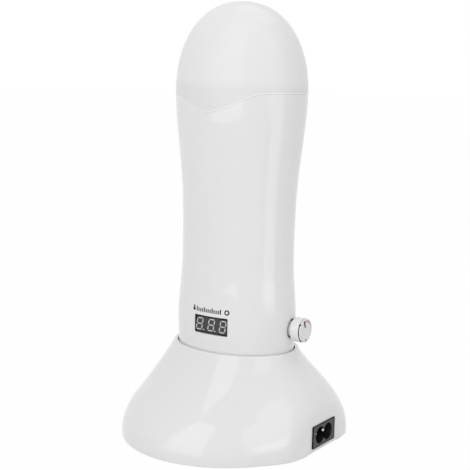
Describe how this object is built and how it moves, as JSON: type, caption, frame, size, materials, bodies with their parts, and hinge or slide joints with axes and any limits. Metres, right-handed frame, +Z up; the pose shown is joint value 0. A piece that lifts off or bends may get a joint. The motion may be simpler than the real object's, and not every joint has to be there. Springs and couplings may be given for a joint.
{
  "type": "roll on wax heater",
  "caption": "Oval roll-on wax heater with a heated cartridge well, milky lid, display and dial, standing in a flared docking base with an appliance inlet.",
  "frame": {"origin": "middle of the base on the plane that the rubber feet stand on, on the handle's long axis (1.3 mm from the middle of the base's box, whose inlet side is flat)", "axes": "+Z up along the handle, -Y towards the display side, +X towards the knob and inlet"},
  "size_m": [0.122, 0.1394, 0.245],
  "materials": {
    "white_gloss": "glossy white moulded plastic",
    "lid_milky": "glossy milky translucent plastic",
    "plain_white": "fine matt moulded plastic",
    "black_plastic": "matt black moulded plastic",
    "rubber_grey": "matt dark grey rubber",
    "steel": "plated steel",
    "brass": "plain brass",
    "aluminium": "drawn aluminium",
    "board_green": "green solder mask",
    "wire_red": "red wire insulation",
    "heater_film": "amber heating film",
    "display_dark": "dark grey display face",
    "silicone": "pale silicone",
    "ceramic": "fired ceramic",
    "disc_grey": "silver grey insert",
    "pointer_black": "black bar"
  },
  "bodies": {
    "base": {"base_shell": "white_gloss", "bottom_plate": "plain_white", "rubber_feet": "rubber_grey", "bottom_screws": "steel", "inlet_housing": "black_plastic", "inlet_pins": "steel", "contact_carrier": "black_plastic", "carrier_screws": "steel", "carrier_terminals": "brass", "base_leads": "wire_red", "contact_spring_left": "steel", "contact_spring_right": "steel"},
    "handle": {"body_shell": "white_gloss", "bottom_cap": "plain_white", "cap_screws": "steel", "contact_plates": "brass", "chassis": "plain_white", "control_board": "board_green", "board_parts": "black_plastic", "board_screws": "steel", "display_module": "display_dark", "potentiometer": "steel", "potentiometer_nut": "steel", "handle_leads": "wire_red", "heater_leads": "wire_red", "heating_sleeve": "aluminium", "heater_wrap": "heater_film", "thermal_fuse": "ceramic", "temperature_sensor": "ceramic", "well_seal": "silicone", "neck_collar": "plain_white"},
    "dial": {"knob": "white_gloss", "knob_shaft": "steel", "knob_disc": "disc_grey", "knob_pointer": "pointer_black"},
    "lid": {"lid": "lid_milky"},
    "docking_pin_left": {"contact_pin_left": "brass"},
    "docking_pin_right": {"contact_pin_right": "brass"}
  },
  "joints": [
    {"name": "handle_lift", "type": "slide", "parent": "base", "child": "handle", "axis": [0, 0, 1], "range_m": [0, 0.06]},
    {"name": "lid_lift", "type": "slide", "parent": "handle", "child": "lid", "axis": [0, 0, 1], "range_m": [0, 0.06]},
    {"name": "dial_turn", "type": "hinge", "parent": "handle", "child": "dial", "pos_m": [0.0445, 0.0024, 0.0649], "axis": [1, 0, 0], "range_deg": [-150, 130]},
    {"name": "docking_pin_left_slide", "type": "slide", "parent": "base", "child": "docking_pin_left", "axis": [0, 0, 1], "range_m": [-0.0015, 0], "stiffness_N_per_m": 400, "springref_m": 0.001, "deforming": ["contact_spring_left"]},
    {"name": "docking_pin_right_slide", "type": "slide", "parent": "base", "child": "docking_pin_right", "axis": [0, 0, 1], "range_m": [-0.0015, 0], "stiffness_N_per_m": 400, "springref_m": 0.001, "deforming": ["contact_spring_right"]}
  ]
}
